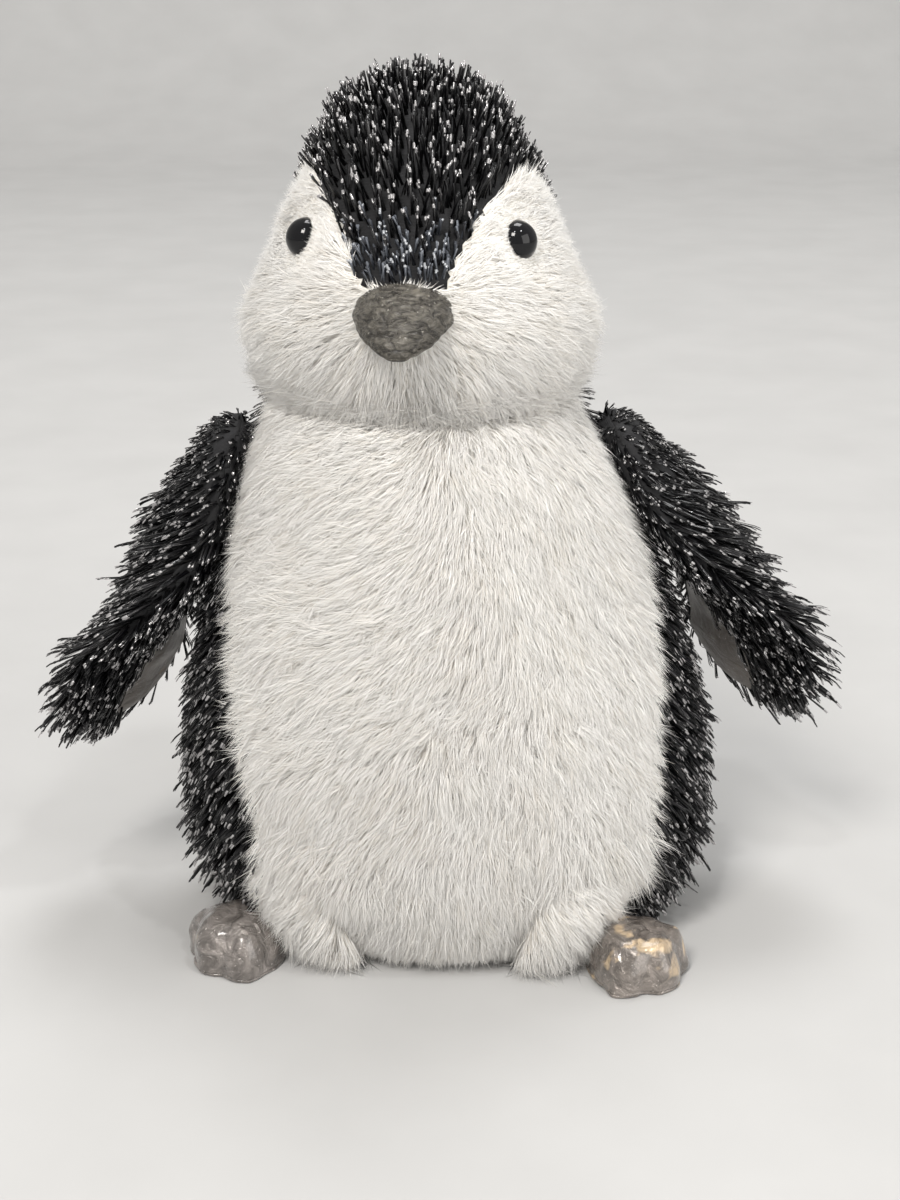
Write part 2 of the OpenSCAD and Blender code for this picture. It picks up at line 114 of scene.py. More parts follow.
def distances(trees, points):
    """How far each point is from each tree, one column a tree."""
    return np.array([[t.find_nearest(Vector(p))[3] for t in trees] for p in points])


def middle_of(*nodes):
    """Middle of the box around some CAD nodes."""
    low = np.min([np.array(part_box(n)[0]) for n in nodes], axis=0)
    high = np.max([np.array(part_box(n)[1]) for n in nodes], axis=0)
    return (low + high) / 2


# ---------------------------------------------------------------- materials


def material(name, colour, roughness, **sockets):
    """A Principled material with plain values. sockets are further inputs by name."""
    made = bpy.data.materials.new(name)
    made.use_nodes = True
    shader = made.node_tree.nodes["Principled BSDF"]
    shader.inputs["Base Color"].default_value = (*colour, 1)
    shader.inputs["Roughness"].default_value = roughness
    for socket, value in sockets.items():
        shader.inputs[socket.replace("_", " ")].default_value = value
    return made


def texture(made, kind, **values):
    """A texture node on the object's own coordinates, in millimetres."""
    nodes, links = made.node_tree.nodes, made.node_tree.links
    place = nodes.new("ShaderNodeTexCoord")
    scale = nodes.new("ShaderNodeMapping")
    scale.inputs["Scale"].default_value = values.pop("stretch", (1, 1, 1))
    for axis in range(3):
        scale.inputs["Scale"].default_value[axis] /= MM
    links.new(place.outputs["Object"], scale.inputs["Vector"])
    node = nodes.new("ShaderNodeTex" + kind)
    links.new(scale.outputs["Vector"], node.inputs["Vector"])
    for key, value in values.items():
        if key in node.inputs:
            node.inputs[key].default_value = value
        else:
            setattr(node, key, value)
    return node


def ramp(made, source, stops):
    """A colour ramp over a texture's output, between two stops of (place, colour)."""
    node = made.node_tree.nodes.new("ShaderNodeValToRGB")
    made.node_tree.links.new(source, node.inputs["Fac"])
    for element, (place, colour) in zip(node.color_ramp.elements, stops):
        element.position = place
        element.color = (*colour, 1)
    return node.outputs["Color"]


def blend_colours(made, factor, first, second):
    """Turns the colour of a node's output into a plain colour where factor is one."""
    node = made.node_tree.nodes.new("ShaderNodeMix")
    node.data_type = "RGBA"
    made.node_tree.links.new(factor, node.inputs["Factor"])
    made.node_tree.links.new(first, node.inputs["A"])
    node.inputs["B"].default_value = (*second, 1)
    return node.outputs["Result"]


def bump(made, source, depth, strength, under=None):
    """Raises the surface by a texture's output, by depth millimetres."""
    node = made.node_tree.nodes.new("ShaderNodeBump")
    node.inputs["Distance"].default_value = depth * MM
    node.inputs["Strength"].default_value = strength
    made.node_tree.links.new(source, node.inputs["Height"])
    if under is not None:
        made.node_tree.links.new(under, node.inputs["Normal"])
    return node.outputs["Normal"]


def wire(made, **sources):
    """Links node outputs to the inputs of a material's shader, by name."""
    shader = made.node_tree.nodes["Principled BSDF"]
    for socket, source in sources.items():
        made.node_tree.links.new(source, shader.inputs[socket.replace("_", " ")])
    return made


def backing(name, dark, light, thread=0.9):
    """Knitted backing of a pile or lining fabric: rows of loops with a little colour drift."""
    made = material(name, light, 0.85)
    rows = texture(made, "Wave", Scale=1 / thread, Distortion=2.0, bands_direction="Z")
    ribs = texture(made, "Wave", Scale=1 / thread, Distortion=1.5, bands_direction="X")
    drift = texture(made, "Noise", Scale=0.08, Detail=4.0)
    colour = ramp(made, drift.outputs["Fac"], [(0.3, dark), (0.7, light)])
    knit = bump(made, rows.outputs["Fac"], 0.12, 0.6)
    knit = bump(made, ribs.outputs["Fac"], 0.08, 0.5, knit)
    return wire(made, Base_Color=colour, Normal=knit)


def foil_cloth(name, dark, light, sheen_tint, sheen_share, roughness, metallic, size, depth=1,
               stretch=(1, 1, 1)):
    """Crinkled fabric with a metallic sheen and creases of a size in millimetres. Its colour holds
    painted light and shade: dark in the crease hollows and light on their crests, painted sheen in
    patches of a second tint, and painted glints in small specks."""
    made = material(name, light, roughness, Metallic=metallic)
    creases = texture(made, "Noise", Scale=1 / size, Detail=5.0, Roughness=0.6, Distortion=1.0,
                      stretch=stretch)
    ridges = texture(made, "Voronoi", feature="DISTANCE_TO_EDGE", Scale=0.8 / size, Randomness=1.0,
                     stretch=stretch)
    sheen_blotches = texture(made, "Noise", Scale=0.13, Detail=3.0, Distortion=0.5)
    glint_specks = texture(made, "Noise", Scale=1.1, Detail=2.0)
    # Painted shade and light: the crease noise that raises the bump also colours the cloth, dark in
    # its hollows and light on its crests.
    base = ramp(made, creases.outputs["Fac"], [(0.38, dark), (0.66, light)])
    # Painted sheen: where this slow noise is high the colour turns to a second tint, standing in
    # for light the cloth reflects in patches.
    patch = ramp(made, sheen_blotches.outputs["Fac"],
                 [(0.64 - sheen_share, (0, 0, 0)), (0.72 - sheen_share, (1, 1, 1))])
    base = blend_colours(made, patch, base, sheen_tint)
    # Painted glints: small specks where the colour is lifted towards a bright tint of the light
    # colour.
    spark = ramp(made, glint_specks.outputs["Fac"], [(0.68, (0, 0, 0)), (0.73, (0.8, 0.8, 0.8))])
    base = blend_colours(made, spark, base, tuple(min(1, 1.8 * c + 0.08) for c in light))
    raised = bump(made, ridges.outputs["Distance"], 0.5 * depth, 0.6)
    raised = bump(made, creases.outputs["Fac"], 1.1 * depth, 0.8, raised)
    return wire(made, Base_Color=base, Normal=raised)


def moulded(name, colour, roughness, **sockets):
    """Moulded plastic with a very faint unevenness."""
    made = material(name, colour, roughness, **sockets)
    grain = texture(made, "Noise", Scale=0.5, Detail=2.0)
    tint = ramp(made, grain.outputs["Fac"], [(0.3, colour), (0.8, tuple(1.25 * c for c in colour))])
    return wire(made, Base_Color=tint, Normal=bump(made, grain.outputs["Fac"], 0.02, 0.3))


WHITE_TONES = [
    material("pile_white", (0.98, 0.965, 0.935), 0.3, Sheen_Weight=0.3, Sheen_Roughness=0.4),
    material("pile_ivory", (0.96, 0.935, 0.89), 0.36, Sheen_Weight=0.25, Sheen_Roughness=0.4),
    material("pile_cream", (0.91, 0.875, 0.815), 0.42, Sheen_Weight=0.2, Sheen_Roughness=0.4),
    material("pile_shade", (0.82, 0.775, 0.705), 0.5, Sheen_Weight=0.2, Sheen_Roughness=0.4),
]
BLACK_TONES = [
    material("fringe_black", (0.008, 0.008, 0.009), 0.2, Specular_IOR_Level=0.55),
    material("fringe_jet", (0.003, 0.003, 0.004), 0.28, Specular_IOR_Level=0.4),
    # The next tone is partly painted sheen: these fibres really shine more, and their lighter grey
    # is painted sheen along the locks.
    material("fringe_grey_sheen", (0.028, 0.027, 0.029), 0.18, Specular_IOR_Level=0.9),
    # The last tone is a painted glint, a pale colour on the tip faces of many locks.
    material("fringe_glint", (0.56, 0.545, 0.55), 0.18, Specular_IOR_Level=0.95, Metallic=0.45),
]
# Locks above the beak: the black tone is their own colour, the slate and blue greys are painted
# sheen of light off these flat-lying locks, and the last tone is painted glints.
BRIDGE_TONES = [
    material("bridge_dim_sheen", (0.05, 0.056, 0.07), 0.35, Specular_IOR_Level=0.7),
    material("bridge_blue_sheen", (0.17, 0.185, 0.215), 0.35, Specular_IOR_Level=0.7),
    material("bridge_black", (0.01, 0.01, 0.013), 0.3, Specular_IOR_Level=0.7),
    material("bridge_glint", (0.55, 0.57, 0.6), 0.25, Metallic=0.3),
]
WHITE_BACKING = backing("white_backing", (0.72, 0.69, 0.63), (0.86, 0.84, 0.79))
BLACK_BACKING = backing("black_backing", (0.006, 0.006, 0.007), (0.018, 0.018, 0.02))
BASE_CLOTH = backing("base_cloth", (0.012, 0.012, 0.014), (0.04, 0.04, 0.045), 1.4)
STUFFING = backing("stuffing_fibre", (0.75, 0.75, 0.74), (0.9, 0.9, 0.89), 2.2)
BAG_CLOTH = backing("bag_cloth", (0.62, 0.6, 0.55), (0.78, 0.76, 0.72), 1.2)
PELLETS = moulded("pellets", (0.6, 0.6, 0.56), 0.5)
THREAD = backing("thread", (0.02, 0.02, 0.024), (0.05, 0.05, 0.055), 0.5)
# In each foil cloth the dark and light colours are painted shade and painted light over its
# creases, and the third colour is painted sheen in patches.
LINING = foil_cloth("lining_satin", (0.17, 0.15, 0.135), (0.27, 0.245, 0.22), (0.42, 0.28, 0.14),
                    -0.02, 0.42, 0.15, 7)
BEAK_CLOTH = foil_cloth("beak_shimmer", (0.028, 0.025, 0.021), (0.15, 0.138, 0.116),
                        (0.2, 0.182, 0.15), 0.03, 0.25, 0.3, 2, 1.6, (0.6, 0.8, 1.5))
FOOT_CLOTH = foil_cloth("foot_shimmer", (0.13, 0.115, 0.105), (0.3, 0.27, 0.25),
                        (0.42, 0.35, 0.27), 0.0, 0.2, 0.3, 4.5, 1.8)
# The left foot's cloth has more painted gold sheen in patches than the right one's.
GOLD_SHEEN_CLOTH = foil_cloth("foot_gold_sheen", (0.13, 0.112, 0.098), (0.3, 0.262, 0.235),
                        (0.6, 0.46, 0.3), 0.1, 0.2, 0.35, 4.5, 1.8)
for cloth in (FOOT_CLOTH, GOLD_SHEEN_CLOTH):
    gloss = cloth.node_tree.nodes["Principled BSDF"].inputs
    gloss["Coat Weight"].default_value = 1
    gloss["Coat Roughness"].default_value = 0.12
EYE = moulded("eye_black", (0.004, 0.004, 0.005), 0.06, Specular_IOR_Level=0.35)
WASHER = moulded("washer_nylon", (0.8, 0.8, 0.76), 0.45)

# ---------------------------------------------------------------- padded forms

# The cloth simulation runs on a form this many times its size, where cloth behaves well
SIM_SCALE = 6.0
SIM_FRAMES = 16
PRESSURE = 3.0
BENDING = 0.2

# Material and slot of each kind of skin
WHITE_PLUSH = (WHITE_BACKING, "white_plush")
BLACK_PLUSH = (BLACK_BACKING, "black_fringe_plush")
SMOOTH_LINING = (LINING, "flipper_lining")


def form_of(name, nodes, voxel):
    """One closed form around some CAD nodes, on an even mesh that cloth can be made of."""
    made = bmesh.new()
    for node in nodes:
        made.from_mesh(frame["nodes"][node].data)
    mesh = bpy.data.meshes.new(name)
    made.to_mesh(mesh)
    made.free()
    form = add(name, mesh)
    even = form.modifiers.new("even", "REMESH")
    even.mode = "VOXEL"
    even.voxel_size = voxel * MM
    soften = form.modifiers.new("soften", "SMOOTH")
    soften.factor = 0.5
    soften.iterations = 4
    apply_modifiers(form)
    keep_largest(form.data)
    return form


def keep_largest(mesh):
    """Drops every loose island but the largest, such as bubbles between a skin and its filling."""
    made = bmesh.new()
    made.from_mesh(mesh)
    unseen = set(made.verts)
    islands = []
    while unseen:
        island, edge = set(), [unseen.pop()]
        while edge:
            vert = edge.pop()
            island.add(vert)
            for link in vert.link_edges:
                other = link.other_vert(vert)
                if other in unseen:
                    unseen.discard(other)
                    edge.append(other)
        islands.append(island)
    largest = max(islands, key=len)
    bmesh.ops.delete(made, geom=[v for v in made.verts if v not in largest], context="VERTS")
    made.to_mesh(mesh)
    made.free()


def inflate(form, held, reach):
    """Fills a closed form like stuffing does: it is cloth under pressure, held at its seams,
    and no point moves further than reach millimetres."""
    rest = points_of(form.data)
    set_points(form.data, rest * SIM_SCALE)
    group = form.vertex_groups.new(name="held")
    group.add([int(i) for i in np.flatnonzero(held)], 1.0, "REPLACE")
    cloth = form.modifiers.new("filling", "CLOTH")
    cloth.settings.vertex_group_mass = "held"
    cloth.settings.use_pressure = True
    cloth.settings.uniform_pressure_force = PRESSURE
    cloth.settings.effector_weights.gravity = 0
    cloth.settings.bending_stiffness = BENDING
    cloth.collision_settings.use_collision = False
    for step in range(1, SIM_FRAMES + 1):
        bpy.context.scene.frame_set(step)
    graph = bpy.context.evaluated_depsgraph_get()
    moved = points_of(form.evaluated_get(graph).data) / SIM_SCALE - rest
    far = np.linalg.norm(moved, axis=1, keepdims=True)
    moved *= np.minimum(1, reach * MM / np.maximum(far, 1e-9))
    form.modifiers.clear()
    form.vertex_groups.clear()
    set_points(form.data, rest + moved)
    bpy.context.scene.frame_set(1)


def normals_of(mesh):
    n = np.empty(len(mesh.vertices) * 3, np.float32)
    mesh.vertices.foreach_get("normal", n)
    return n.reshape(-1, 3).astype(float)


def lumps(form, size, height, seed):
    """Uneven stuffing under the cloth: bulges of a size and height in millimetres."""
    co = points_of(form.data)
    bulge = waves(co / MM, size, seed)[:, None] * height * MM
    set_points(form.data, co + normals_of(form.data) * bulge)


def regions(form, panels, fillings=()):
    """Cuts a form along its seams into one open skin for each CAD panel. Faces that lie nearest to
    a filling have no skin over them and are left out."""
    names = [*panels, *fillings]
    trees = [tree_of(n) for n in names]
    centres = np.array([p.center for p in form.data.polygons])
    nearest = distances(trees, centres).argmin(axis=1)
    skins = {}
    for index, panel in enumerate(panels):
        made = bmesh.new()
        made.from_mesh(form.data)
        made.faces.ensure_lookup_table()
        others = [made.faces[int(i)] for i in np.flatnonzero(nearest != index)]
        bmesh.ops.delete(made, geom=others, context="FACES")
        mesh = bpy.data.meshes.new(panel + "_skin")
        made.to_mesh(mesh)
        made.free()
        skins[panel] = add(panel + "_skin", mesh)
    bpy.data.objects.remove(form)
    return skins


def seam_points(form, panels, near):
    """Which of a form's points lie within near millimetres of two panels at once."""
    gaps = np.sort(distances([tree_of(n) for n in panels], points_of(form.data)), axis=1)
    return gaps[:, 1] < near * MM


def finish_skin(skin, thick, look, body, node, levels=0):
    """Gives an open skin its thickness in millimetres, the material of its look of (material,
    slot), whose slot is not used, and its place in the frame, where it stands for a CAD node. None
    of it goes below the floor."""
    made, slot = look
    wall = skin.modifiers.new("wall", "SOLIDIFY")
    wall.thickness = thick * MM
    wall.offset = -1
    if levels:
        rounder = skin.modifiers.new("rounder", "SUBSURF")
        rounder.levels = levels
    apply_modifiers(skin)
    co = points_of(skin.data)
    set_points(skin.data, np.maximum(co, (-np.inf, -np.inf, 0)))
    skin.data.shade_smooth()
    skin.data.materials.clear()
    skin.data.materials.append(made)
    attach(skin, body)
    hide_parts(node)


# ---------------------------------------------------------------- pile and fringe

# Shape of a strand: the share of its length where each ring of corners lies, and its width there
PILE_SHAPE = ((0.0, 1.0), (0.5, 0.8))
FRINGE_SHAPE = ((0.0, 0.6), (0.89, 1.0), (0.98, 0.9))
MOST_TRIANGLES = 190_000


def strand_faces(rings):
    """Corner numbers of one strand: a three-sided tube of some rings that ends in a point."""
    faces = [(0, 2, 1)]
    for ring in range(0, 3 * rings - 3, 3):
        for i in range(3):
            j = (i + 1) % 3
            faces.append((ring + i, ring + j, ring + 3 + j, ring + 3 + i))
    last = 3 * rings - 3
    return faces + [(last + i, last + (i + 1) % 3, 3 * rings) for i in range(3)]


def strand_mesh(name, shape, strands, flat, softness):
    """A mesh of strands, each on a smooth bend from root to tip. flat is the share of its width
    that a strand is thick, facing is the way its broad side looks, and softness is how far its
    shading follows the surface under it, as fine pile does."""
    roots, bends, tips, widths, facing, surface = strands
    count, rings = len(roots), len(shape)
    t = np.array([place for place, _ in shape])[None, :, None]
    wide = widths[:, None] * np.array([share for _, share in shape])[None]
    centre = (1 - t) ** 2 * roots[:, None] + 2 * t * (1 - t) * bends[:, None] + t**2 * tips[:, None]
    along = unit((1 - t) * (bends - roots)[:, None] + t * (tips - bends)[:, None])
    side = unit(np.cross(along, facing[:, None]))
    thick = np.cross(along, side)
    corners, looks = [], []
    for corner in range(3):
        angle = math.pi / 2 + corner * 2 * math.pi / 3
        off = math.cos(angle) * side + math.sin(angle) * flat * thick
        corners.append(centre + off * wide[..., None] / 2)
        looks.append(unit(off))
    tube = np.stack(corners, axis=2).reshape(count, 3 * rings, 3)
    points = np.concatenate([tube, tips[:, None]], axis=1)
    points[..., 2] = np.maximum(points[..., 2], 0.15 * MM)
    faces = strand_faces(rings)
    numbers = np.array([c for f in faces for c in f])
    starts = np.cumsum([0] + [len(f) for f in faces[:-1]])
    first = np.arange(count)[:, None]
    per_strand = 3 * rings + 1
    mesh = bpy.data.meshes.new(name)
    mesh.vertices.add(count * per_strand)
    mesh.loops.add(count * len(numbers))
    mesh.polygons.add(count * len(faces))
    mesh.vertices.foreach_set("co", points.astype(np.float32).ravel())
    mesh.loops.foreach_set("vertex_index", (numbers + per_strand * first).astype(np.int32).ravel())
    loop_starts = starts + len(numbers) * first
    mesh.polygons.foreach_set("loop_start", loop_starts.astype(np.int32).ravel())
    mesh.update(calc_edges=True)
    mesh.shade_smooth()
    if softness:
        own = np.stack(looks, axis=2).reshape(count, 3 * rings, 3)
        own = np.concatenate([own, along[:, -1:]], axis=1)
        soft = unit(own * (1 - softness) + surface[:, None] * softness)
        mesh.normals_split_custom_set_from_vertices(soft.reshape(-1, 3))
    return mesh


def scatter(mesh, per_mm2, rng):
    """Random points on a mesh, with the surface's normals there."""
    mesh.calc_loop_triangles()
    corners = np.empty(len(mesh.loop_triangles) * 3, np.int32)
    mesh.loop_triangles.foreach_get("vertices", corners)
    corners = corners.reshape(-1, 3)
    co, normals = points_of(mesh), normals_of(mesh)
    a, b, c = (co[corners[:, k]] for k in range(3))
    area = np.linalg.norm(np.cross(b - a, c - a), axis=1) / 2 / MM**2
    count = int(area.sum() * per_mm2)
    pick = np.searchsorted(np.cumsum(area), rng.random(count) * area.sum())
    pick = np.minimum(pick, len(area) - 1)
    u, v = rng.random((2, count))
    over = u + v > 1
    u[over], v[over] = 1 - u[over], 1 - v[over]
    share = np.stack([1 - u - v, u, v], axis=1)[..., None]
    return (co[corners[pick]] * share).sum(1), unit((normals[corners[pick]] * share).sum(1))


def spaced(points, gap):
    """Which points to keep so that none is nearer than gap millimetres to another kept one."""
    tree = KDTree(len(points))
    for i, p in enumerate(points):
        tree.insert(p, i)
    tree.balance()
    kept = np.ones(len(points), bool)
    for i, p in enumerate(points):
        if kept[i]:
            for _, j, _ in tree.find_range(p, gap * MM):
                if j > i:
                    kept[j] = False
    return kept


def nearest_of(points, centres):
    tree = KDTree(len(centres))
    for i, p in enumerate(centres):
        tree.insert(p, i)
    tree.balance()
    return np.array([tree.find(p)[1] for p in points])


def constant(value):
    """A length or stand that is the same at every point."""
    return lambda p: np.full(len(p), float(value))


def lay(normals, flow):
    """The part of a flow that lies along the surface."""
    return unit(flow - normals * (flow * normals).sum(1, keepdims=True))


def add_strands(name, shape, strands, look, flat, body, softness=0.0, tip_faces=3):
    """Makes pieces of at most MOST_TRIANGLES from strands. look is (materials, tone of each
    strand, tone of its tip), and tip_faces is how many faces at its end have the tip's tone."""
    tones, tone, tip_tone = look
    faces = strand_faces(len(shape))
    triangles = sum(len(f) - 2 for f in faces)
    pieces = math.ceil(len(tone) * triangles / MOST_TRIANGLES)
    downward = np.argsort(-strands[0][:, 2], kind="stable")
    for number, pick in enumerate(np.array_split(downward, pieces)):
        label = name if pieces == 1 else f"{name}_{number + 1}"
        mesh = strand_mesh(label, shape, [part[pick] for part in strands], flat, softness)
        index = np.repeat(tone[pick][:, None], len(faces), axis=1)
        index[:, -tip_faces:] = tip_tone[pick][:, None]
        for made in tones:
            mesh.materials.append(made)
        mesh.polygons.foreach_set("material_index", index.astype(np.int32).ravel())
        piece = add(label, mesh)
        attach(piece, body)


# Strands to a clump, strands to a square millimetre, and the range of their widths in millimetres
CLUMP_SIZE = 16
PILE_DENSITY = 7.6
PILE_WIDTHS = (0.13, 0.24)
PILE_SHORTEST = 1.2
PILE_SOFTNESS = 0.55


def pile(name, skin, flow_at, length_at, body, seed, stand=0.5):
    """Long soft white pile on a skin. flow_at and length_at give the way it is brushed and its
    length in millimetres, at points in millimetres, and stand is how far it stands off the skin."""
    rng = np.random.default_rng(seed)
    roots, normals = scatter(skin.data, PILE_DENSITY, rng)
    leaders = rng.permutation(len(roots))[: max(len(roots) // CLUMP_SIZE, 1)]
    clump = nearest_of(roots, roots[leaders])
    sway = rng.normal(size=(len(leaders), 3))[clump]
    own = rng.normal(size=roots.shape)
    drift = waves(roots / MM, 13, seed)
    flow = lay(normals, flow_at(roots / MM, normals) + 0.26 * sway + 0.22 * own)
    length = length_at(roots / MM) * (1 + 0.16 * rng.normal(size=len(roots)))
    length *= 1 + 0.1 * rng.normal(size=len(leaders))[clump]
    length = np.maximum(length, PILE_SHORTEST)[:, None] * MM
    rise = stand * (1 + 0.3 * rng.normal(size=(len(roots), 1)) + 0.25 * drift[:, None])
    bends = roots + unit(normals * (rise + 0.3) + flow * 0.7) * length * 0.45
    tips = bends + unit(normals * rise * 0.6 + flow - 0.1 * UP) * length * 0.6
    pull = rng.uniform(0.0, 0.35, (len(roots), 1))
    tips += (tips[leaders][clump] - tips) * pull
    roots = roots - normals * 0.3 * MM
    widths = rng.uniform(*PILE_WIDTHS, len(roots)) * MM
    shade = 0.5 + 0.13 * drift + 0.25 * (rng.random(len(leaders))[clump] - 0.5)
    shade += 0.75 * (rng.random(len(roots)) - 0.5)
    tone = np.digitize(shade, (0.4, 0.6, 0.8))
    strands = (roots, bends, tips, widths, unit(normals + 0.5 * own), normals)
    # Painted light and shade along each strand: its tip faces take the next brighter tone, so tips
    # read as lit and the rest of the strand as shaded.
    look = (WHITE_TONES, tone, np.maximum(tone - 1, 0))
    add_strands(name, PILE_SHAPE, strands, look, 0.8, body, PILE_SOFTNESS)


# Flat fibres to a lock, the range of their widths in millimetres, the share of each dark tone, and
# how many locks are tried on a square millimetre before they are spaced out
FIBRES = 4
FIBRE_WIDTHS = (0.5, 0.8)
TONE_SHARES = (0.5, 0.27, 0.23)
TRIED_LOCKS = 2.2


def fringe(name, skin, flow_at, length_at, stand_at, body, seed, gap=1.8, tones=BLACK_TONES,
           inside=None):
    """Shiny fringe of blunt locks. A lock is a few flat fibres side by side, and many locks carry a
    pale tone on their tip faces as painted glints. It leans the way of flow_at, and never closer to
    the skin than stand_at."""
    rng = np.random.default_rng(seed)
    roots, normals = scatter(skin.data, TRIED_LOCKS, rng)
    kept = spaced(roots, gap)
    if inside is not None:
        kept &= inside(roots / MM, rng)
    roots, normals = roots[kept], normals[kept]
    lean = unit(unit(flow_at(roots / MM, normals)) + 0.16 * rng.normal(size=roots.shape))
    least = stand_at(roots / MM) * rng.uniform(0.7, 1.3, len(roots))
    off = np.maximum((lean * normals).sum(axis=1), np.minimum(least, 0.95))[:, None]
    lean = lay(normals, lean) * np.sqrt(1 - off**2) + normals * off
    across = unit(np.cross(normals, lean))
    length = length_at(roots / MM) * rng.uniform(0.75, 1.15, len(roots))
    # Painted glints: which locks get the pale tone on their tips, standing in for the light their
    # ends catch.
    glint = 0.72 + 0.25 * waves(roots / MM, 8, seed) > rng.random(len(roots))
    locks = []
    for _ in range(FIBRES):
        wobble = rng.normal(size=roots.shape)
        far = (length * rng.uniform(0.82, 1.05, len(roots)) * MM)[:, None]
        start = roots + across * wobble[:, :1] * 0.4 * MM - normals * 0.4 * MM
        bends = start + unit(lean + normals * 0.55) * far * 0.45
        tips = roots + lean * far + wobble * 0.28 * MM
        widths = rng.uniform(*FIBRE_WIDTHS, len(roots)) * MM
        tone = rng.choice(3, len(roots), p=TONE_SHARES)
        tip_tone = np.where(glint & (rng.random(len(roots)) < 0.6), 3, tone)
        facing = unit(normals + 0.4 * wobble)
        locks.append((start, bends, tips, widths, facing, normals, tone, tip_tone))
    *strands, tone, tip_tone = (np.concatenate([lock[k] for lock in locks]) for k in range(8))
    add_strands(name, FRINGE_SHAPE, strands, (tones, tone, tip_tone), 0.4, body,
                tip_faces=6)


# ---------------------------------------------------------------- torso


def columns(*parts):
    """Vectors from their x, y and z, of which any may be one number."""
    return np.stack(np.broadcast_arrays(*parts), axis=-1)


def belly_flow(p, normals):
    """Brushed down on the toy's left, and swept down to its right below the neck."""
    x, z = p[:, 0], p[:, 2]
    right = smooth(14, -24, x + 8 * waves(p, 30, 5))
    high = smooth(18, 92, z)
    angle = np.radians((1 - right) * (-6 - 22 * smooth(18, 52, x)) + right * (20 + 50 * high)
                       + 14 * waves(p, 22, 6))
    return columns(-np.sin(angle), 0, -np.cos(angle))


NECK_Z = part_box("belly_panel")[1].z / MM


def belly_length(p):
    """Shorter towards the neck seam and the floor, and longer above the legs."""
    above_leg = smooth(16, 26, np.abs(p[:, 0])) * smooth(22, 27, p[:, 2]) * smooth(40, 32, p[:, 2])
    length = 6.8 + 4 * above_leg - 2.2 * smooth(14, 2, p[:, 2])
    return length - 0.6 * smooth(NECK_Z - 12, NECK_Z, p[:, 2])


def on_shoulder(p):
    """One where the flippers meet the torso, nought elsewhere."""
    return smooth(NECK_Z - 40, NECK_Z - 22, p[:, 2]) * smooth(14, 24, np.abs(p[:, 0]))


def back_flow(p, normals):
    """Hangs down and outward, most of all over the flippers."""
    outward = (0.6 + 0.5 * on_shoulder(p)) * np.clip((p[:, 0] + 3) / 16, -1, 1)
    return columns(outward, -0.05, -1 + 0.2 * on_shoulder(p))


def back_length(p):
    """Long over the tops of the flippers, and low down where it hangs over the feet."""
    length = 11 + 1.5 * on_shoulder(p) + 2.5 * smooth(42, 28, p[:, 2])
    return length - 4.5 * smooth(9, 3, p[:, 2]) - 3.5 * smooth(NECK_Z - 12, NECK_Z - 3, p[:, 2])


def torso():
    panels = ["belly_panel", "back_panel_left", "back_panel_right", "base_panel"]
    form = form_of("body_form", [*panels, "body_stuffing"], 2.2)
    inflate(form, seam_points(form, panels, 1.6), 1.2)
    lumps(form, 46, 0.5, 3)
    skins = regions(form, panels, ["body_stuffing"])
    pile("belly_pile", skins["belly_panel"], belly_flow, belly_length, "torso", 11)
    for side, sign in SIDES.items():
        fringe(f"back_fringe_{side}", skins[f"back_panel_{side}"], back_flow, back_length,
               constant(0.45), "torso", 21 + sign)
    finish_skin(skins["belly_panel"], 1.0, WHITE_PLUSH, "torso", "belly_panel")
    for side in SIDES:
        panel = f"back_panel_{side}"
        finish_skin(skins[panel], 1.0, BLACK_PLUSH, "torso", panel)
    finish_skin(skins["base_panel"], 1.0, (BASE_CLOTH, "base_cloth"), "torso", "base_panel")


def legs():
    for side, sign in SIDES.items():
        cover = f"{side}_leg_cover"
        form = form_of(f"{side}_leg_form", [cover, f"{side}_leg_stuffing"], 1.5)
        skin = regions(form, [cover], [f"{side}_leg_stuffing"])[cover]
        pile(f"{side}_leg_pile", skin,
             lambda p, n: columns(sign * (0.2 + 0.9 * smooth(8, 20, p[:, 2])), -0.2, -1),
             lambda p: 9 - 4 * smooth(12, 25, p[:, 2]), "torso", 31 + sign, 0.6)
        finish_skin(skin, 1.0, WHITE_PLUSH, "torso", cover)


def tail():
    form = form_of("tail_form", ["tail_upper", "tail_lining", "tail_stuffing"], 1.2)
    skins = regions(form, ["tail_upper", "tail_lining"], ["tail_stuffing"])
    fringe("tail_fringe", skins["tail_upper"], lambda p, n: columns(0, 1, -0.5),
           constant(8.5), constant(0.35), "torso", 41)
    finish_skin(skins["tail_upper"], 0.8, BLACK_PLUSH, "torso", "tail_upper")
    finish_skin(skins["tail_lining"], 0.8, SMOOTH_LINING, "torso", "tail_lining", 1)


# ---------------------------------------------------------------- head

BEAK = middle_of("beak_upper", "beak_lower") / MM
EYES = {side: middle_of(f"{side}_eye") / MM for side in SIDES}
HEAD_AXIS = middle_of("head_stuffing") / MM


def cheek_flow(p, normals):
    """Brushed away from the beak and a little down, and outward over the neck seam."""
    away = unit(p - (BEAK + np.array((0, 8, 0))))
    under = smooth(NECK_Z + 7, NECK_Z + 3, p[:, 2])[:, None]
    return (away - 0.25 * UP) * (1 - under) + normals * (1, 1, 0) * under


def cheek_length(p):
    """Short round the eyes and the beak, and long low on the cheeks."""
    eye = np.min([np.linalg.norm(p - EYES[side], axis=1) for side in SIDES], axis=0)
    beak = np.linalg.norm(p - BEAK, axis=1)
    length = 4.8 + 1.6 * smooth(BEAK[2] + 4, BEAK[2] - 6, p[:, 2])
    length -= 3.4 * smooth(12, 7, eye) + 1.6 * smooth(19, 12, beak)
    return length + 1.2 * smooth(NECK_Z + 10, NECK_Z + 3, p[:, 2])


